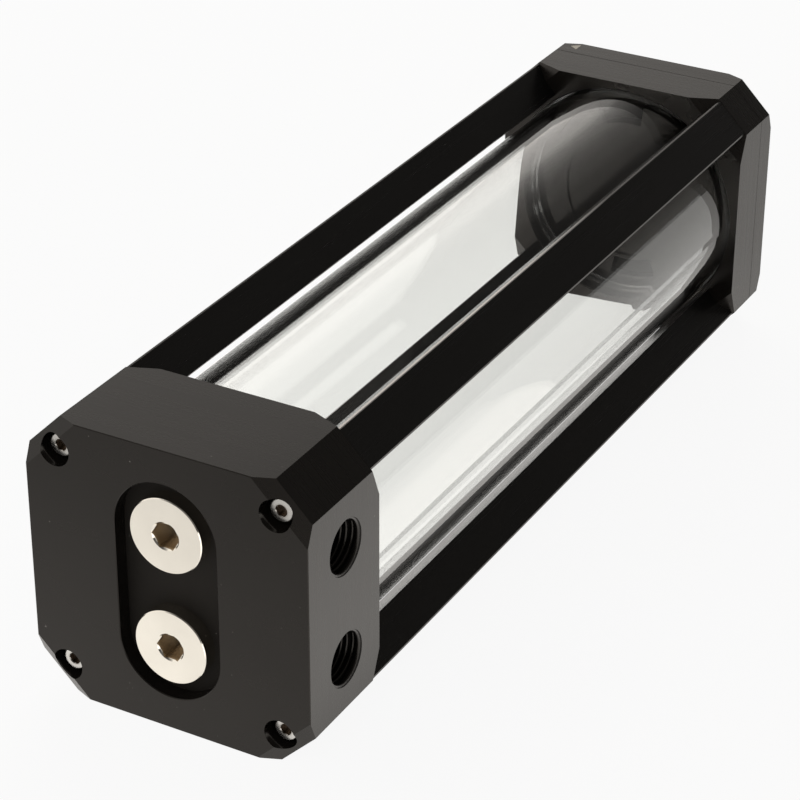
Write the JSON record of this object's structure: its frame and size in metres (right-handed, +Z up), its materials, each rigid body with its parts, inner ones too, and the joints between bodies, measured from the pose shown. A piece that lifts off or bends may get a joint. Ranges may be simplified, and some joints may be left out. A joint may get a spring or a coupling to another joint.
{
  "type": "water cooling reservoir",
  "caption": "Tube reservoir for a liquid cooling loop: clear cylinder between a square ported base and a square cap with a quarter-turn lid, held by corner struts.",
  "frame": {"origin": "centre of the object's length and width, on the surface that it lies on", "axes": "+Y along the tube from the base to the lid, +Z up, +X to the side with the two open ports"},
  "size_m": [0.07, 0.2452, 0.07],
  "materials": {
    "base_black": "satin, smooth",
    "cap_black": "satin, smooth",
    "strut_black": "black anodised, satin",
    "tube_glass": "clear, polished",
    "plug_nickel": "nickel plated, bright",
    "screw_steel": "bright steel",
    "seal_rubber": "matt black"
  },
  "bodies": {
    "reservoir": {"base_block": "base_black", "plug_upper": "plug_nickel", "plug_lower": "plug_nickel", "plug_seal_upper": "seal_rubber", "plug_seal_lower": "seal_rubber", "base_screw_bottom_right": "screw_steel", "base_screw_bottom_left": "screw_steel", "base_screw_top_left": "screw_steel", "base_screw_top_right": "screw_steel", "base_tube_seal": "seal_rubber", "glass_tube": "tube_glass", "strut_bottom_right": "strut_black", "strut_bottom_left": "strut_black", "strut_top_left": "strut_black", "strut_top_right": "strut_black", "cap_tube_seal": "seal_rubber", "top_cap": "cap_black", "cap_screw_bottom_right": "screw_steel", "cap_screw_bottom_left": "screw_steel", "cap_screw_top_left": "screw_steel", "cap_screw_top_right": "screw_steel"},
    "lid": {"lid": "cap_black", "lid_seal": "seal_rubber"}
  },
  "joints": [
    {"name": "lid_turn", "type": "hinge", "parent": "reservoir", "child": "lid", "pos_m": [0, 0.11533, 0.035], "axis": [0, 1, 0], "range_deg": [0, 30]}
  ]
}
